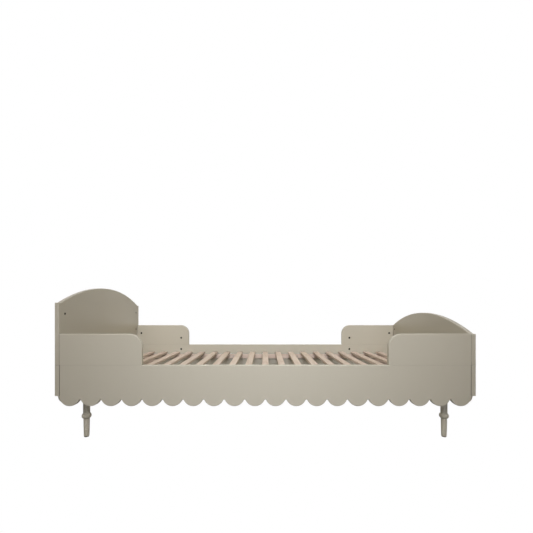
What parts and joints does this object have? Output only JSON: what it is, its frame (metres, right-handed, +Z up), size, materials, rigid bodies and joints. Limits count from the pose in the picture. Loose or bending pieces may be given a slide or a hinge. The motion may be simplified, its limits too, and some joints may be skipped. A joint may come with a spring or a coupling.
{
  "type": "toddler bed",
  "caption": "Low toddler bed with scalloped rails, arched head and foot boards, short corner guards, a slatted base and turned legs.",
  "frame": {"origin": "on the floor, at the middle of the bed's footprint", "axes": "+X along the bed towards the foot end, +Y across the bed, +Z up"},
  "size_m": [1.656, 0.756, 0.639],
  "materials": {
    "painted_board": "smooth satin paint over board",
    "painted_leg": "smooth satin paint over turned wood",
    "slat_timber": "bare planed wood",
    "frame_timber": "bare planed wood",
    "dowel_timber": "bare fluted wood",
    "webbing": "woven tape",
    "felt": "pressed felt",
    "dark_steel": "blackened",
    "plated_steel": "zinc plated"
  },
  "bodies": {
    "root": {"side_rail_front": "painted_board", "side_rail_back": "painted_board", "end_rail_head": "painted_board", "end_rail_foot": "painted_board", "headboard_panel": "painted_board", "footboard_panel": "painted_board", "guard_front_head": "painted_board", "guard_front_foot": "painted_board", "guard_back_head": "painted_board", "guard_back_foot": "painted_board", "bearer_front": "frame_timber", "bearer_back": "frame_timber", "slat_tape_front": "webbing", "slat_tape_back": "webbing", "slat_01": "slat_timber", "slat_02": "slat_timber", "slat_03": "slat_timber", "slat_04": "slat_timber", "slat_05": "slat_timber", "slat_06": "slat_timber", "slat_07": "slat_timber", "slat_08": "slat_timber", "slat_09": "slat_timber", "slat_10": "slat_timber", "slat_11": "slat_timber", "slat_12": "slat_timber", "slat_13": "slat_timber", "slat_14": "slat_timber", "slat_15": "slat_timber", "slat_16": "slat_timber", "slat_17": "slat_timber", "slat_18": "slat_timber", "slat_19": "slat_timber", "corner_block_front_head": "frame_timber", "corner_block_front_foot": "frame_timber", "corner_block_back_head": "frame_timber", "corner_block_back_foot": "frame_timber", "leg_front_head": "painted_leg", "leg_front_foot": "painted_leg", "leg_back_head": "painted_leg", "leg_back_foot": "painted_leg", "leg_glides": "felt", "hanger_bolts": "plated_steel", "insert_nuts": "plated_steel", "rail_bolts": "plated_steel", "rail_barrel_nuts": "dark_steel", "guard_bolts": "plated_steel", "guard_barrel_nuts": "dark_steel", "guard_studs": "plated_steel", "stud_barrel_nuts": "dark_steel", "socket_sleeves": "dark_steel", "guard_dowels": "dowel_timber", "panel_dowels": "dowel_timber", "bearer_screws": "plated_steel", "block_screws": "plated_steel", "slat_screws": "plated_steel"}
  },
  "joints": []
}
